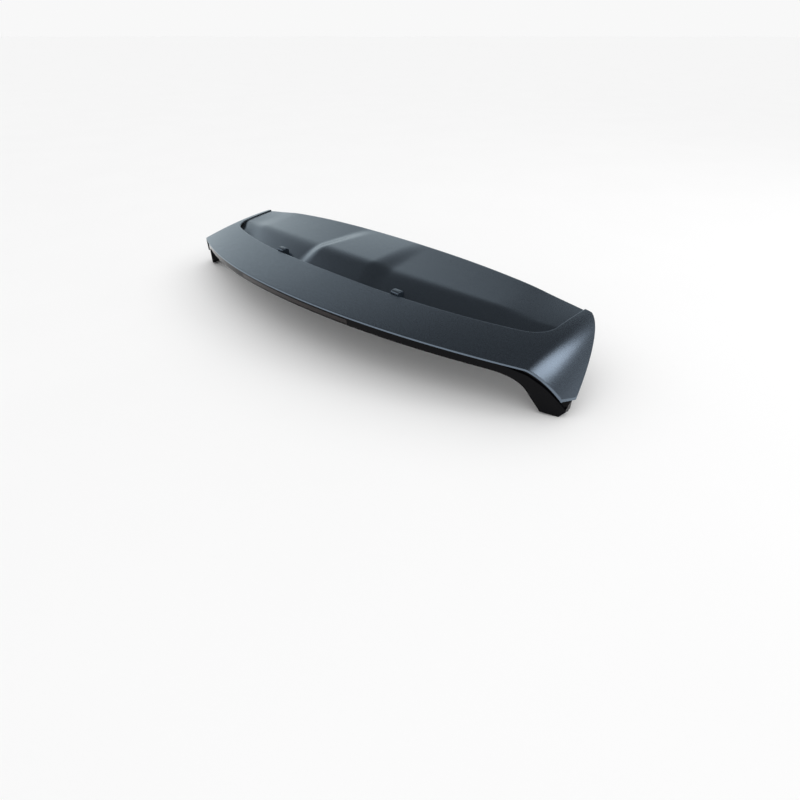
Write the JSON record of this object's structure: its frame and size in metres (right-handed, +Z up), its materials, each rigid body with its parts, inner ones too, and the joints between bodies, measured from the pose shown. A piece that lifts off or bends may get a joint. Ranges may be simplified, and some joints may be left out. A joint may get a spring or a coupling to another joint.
{
  "type": "roof spoiler",
  "caption": "Wide tailgate roof spoiler: a bowed blade with turned-down ears round a dished deck panel, black lower trims with short legs, a slim stop lamp and studs below.",
  "frame": {"origin": "middle of the four studs, on the plane that their bosses seat on", "axes": "+X to the right seen from behind the car, +Y to the front of the car, +Z up"},
  "size_m": [1.3048, 0.3945, 0.167],
  "materials": {
    "skin_paint": "satin dark blue-grey paint on moulded plastic",
    "deck_paint": "satin dark blue-grey paint on moulded plastic",
    "strut_paint": "satin dark blue-grey paint on moulded plastic",
    "trim_black": "gloss black",
    "lens_smoke": "smoked dark red, clear gloss",
    "housing_plastic": "moulded, fine grain",
    "board_green": "printed circuit lacquer",
    "led_yellow": "clear dome on white body",
    "screw_zinc": "zinc plated",
    "stud_zinc": "zinc plated",
    "clip_white": "natural nylon",
    "foam_black": "closed-cell foam",
    "rubber_black": "extruded rubber",
    "tape_foam": "acrylic foam tape"
  },
  "bodies": {
    "root": {"blade_skin": "skin_paint", "deck_panel": "deck_paint", "trim_centre": "trim_black", "trim_left": "trim_black", "trim_right": "trim_black", "lamp_lens": "lens_smoke", "lamp_gasket": "foam_black", "lamp_housing": "housing_plastic", "lamp_board": "board_green", "lamp_leds": "led_yellow", "strut_left": "strut_paint", "strut_right": "strut_paint", "trim_screws": "screw_zinc", "lamp_screws": "screw_zinc", "strut_screws": "screw_zinc", "mount_studs": "stud_zinc", "stud_seals": "foam_black", "push_clips": "clip_white", "front_seal": "rubber_black", "ear_tape_left": "tape_foam", "ear_tape_right": "tape_foam", "leg_pad_left": "foam_black", "leg_pad_right": "foam_black"}
  },
  "joints": []
}
